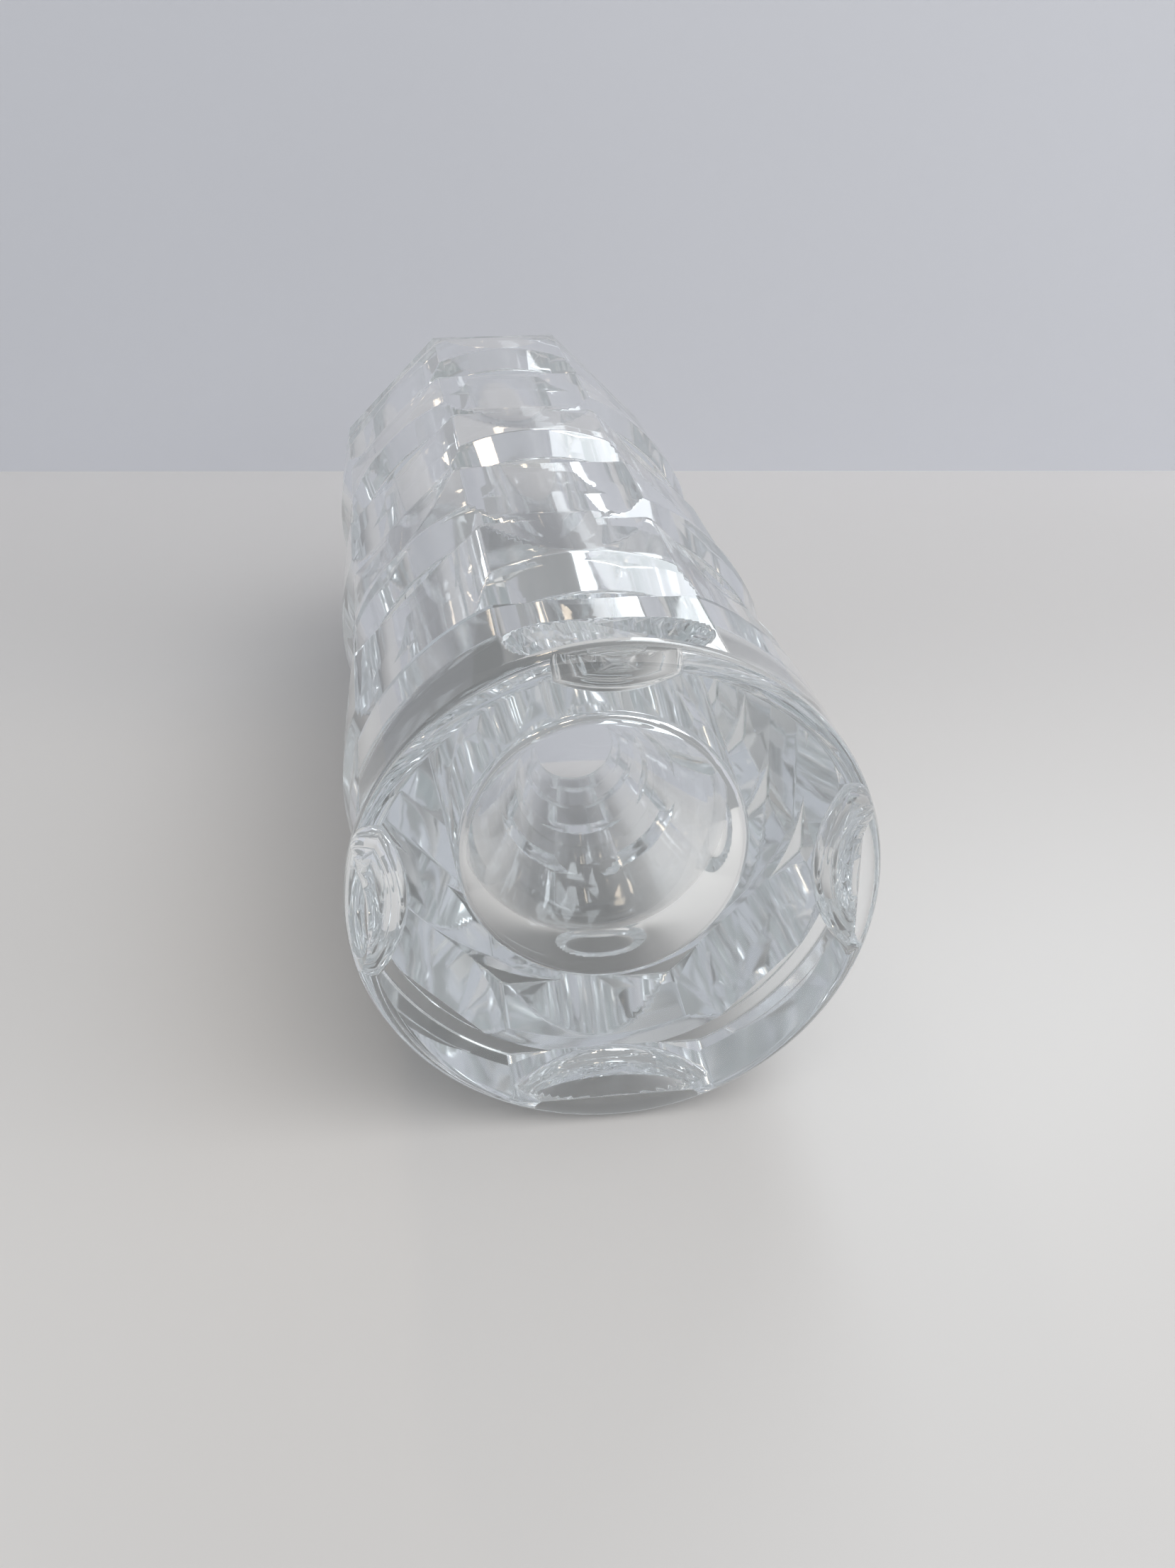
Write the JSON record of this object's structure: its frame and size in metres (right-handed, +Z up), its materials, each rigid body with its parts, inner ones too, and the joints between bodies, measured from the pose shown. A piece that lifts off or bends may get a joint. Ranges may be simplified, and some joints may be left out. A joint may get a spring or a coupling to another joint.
{
  "type": "cut crystal vase",
  "caption": "Heavy straight-sided cut crystal vase: ring grooves and staggered flat windows over a plinth band with thumbprint dishes, round tapered cavity.",
  "frame": {"origin": "centre of the flat base, on the surface that the vase stands on", "axes": "+Z up the vase's axis to the rim; +X, +Y, -X and -Y each point through the middle of a main column of windows"},
  "size_m": [0.092, 0.092, 0.25],
  "materials": {
    "crystal": "clear, polished"
  },
  "bodies": {
    "root": {"vase_body": "crystal"}
  },
  "joints": []
}
